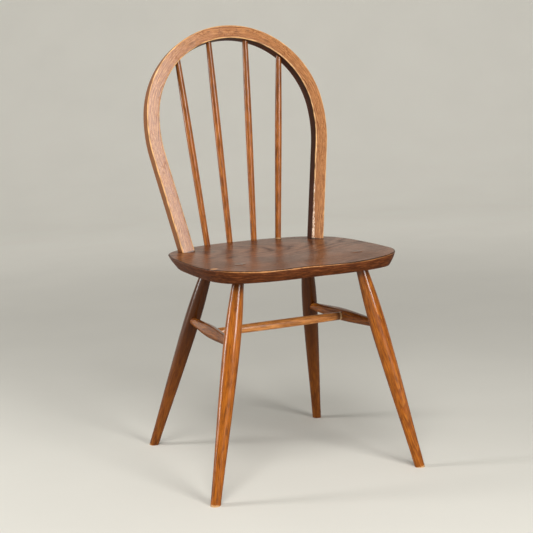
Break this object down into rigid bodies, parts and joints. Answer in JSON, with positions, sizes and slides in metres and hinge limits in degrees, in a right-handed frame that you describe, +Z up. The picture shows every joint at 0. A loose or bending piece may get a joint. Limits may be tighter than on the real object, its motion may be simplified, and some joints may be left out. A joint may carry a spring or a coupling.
{
  "type": "windsor chair",
  "caption": "Wooden side chair with a solid plank seat, a bent hoop back filled with slender spindles, raked turned legs and an H-shaped stretcher frame.",
  "frame": {"origin": "centre of the chair's outline box, on the floor", "axes": "+Z up, -Y towards the front of the chair, +X to the right when the chair is seen from the front"},
  "size_m": [0.4496, 0.4782, 0.8796],
  "materials": {
    "seat": "satin lacquered elm, side-to-side grain",
    "hoop": "satin lacquered bent ash, worn light on the edges",
    "spindles": "glossy lacquered beech",
    "legs": "glossy lacquered beech",
    "stretchers": "glossy lacquered beech",
    "wedges": "lacquered with the seat"
  },
  "bodies": {
    "root": {"back_leg_left": "legs", "back_leg_right": "legs", "back_wedge_left": "wedges", "back_wedge_right": "wedges", "cross_stretcher": "stretchers", "front_leg_left": "legs", "front_leg_right": "legs", "front_wedge_left": "wedges", "front_wedge_right": "wedges", "hoop": "hoop", "inner_spindle_left": "spindles", "inner_spindle_right": "spindles", "outer_spindle_left": "spindles", "outer_spindle_right": "spindles", "seat": "seat", "side_stretcher_left": "stretchers", "side_stretcher_right": "stretchers"}
  },
  "joints": []
}
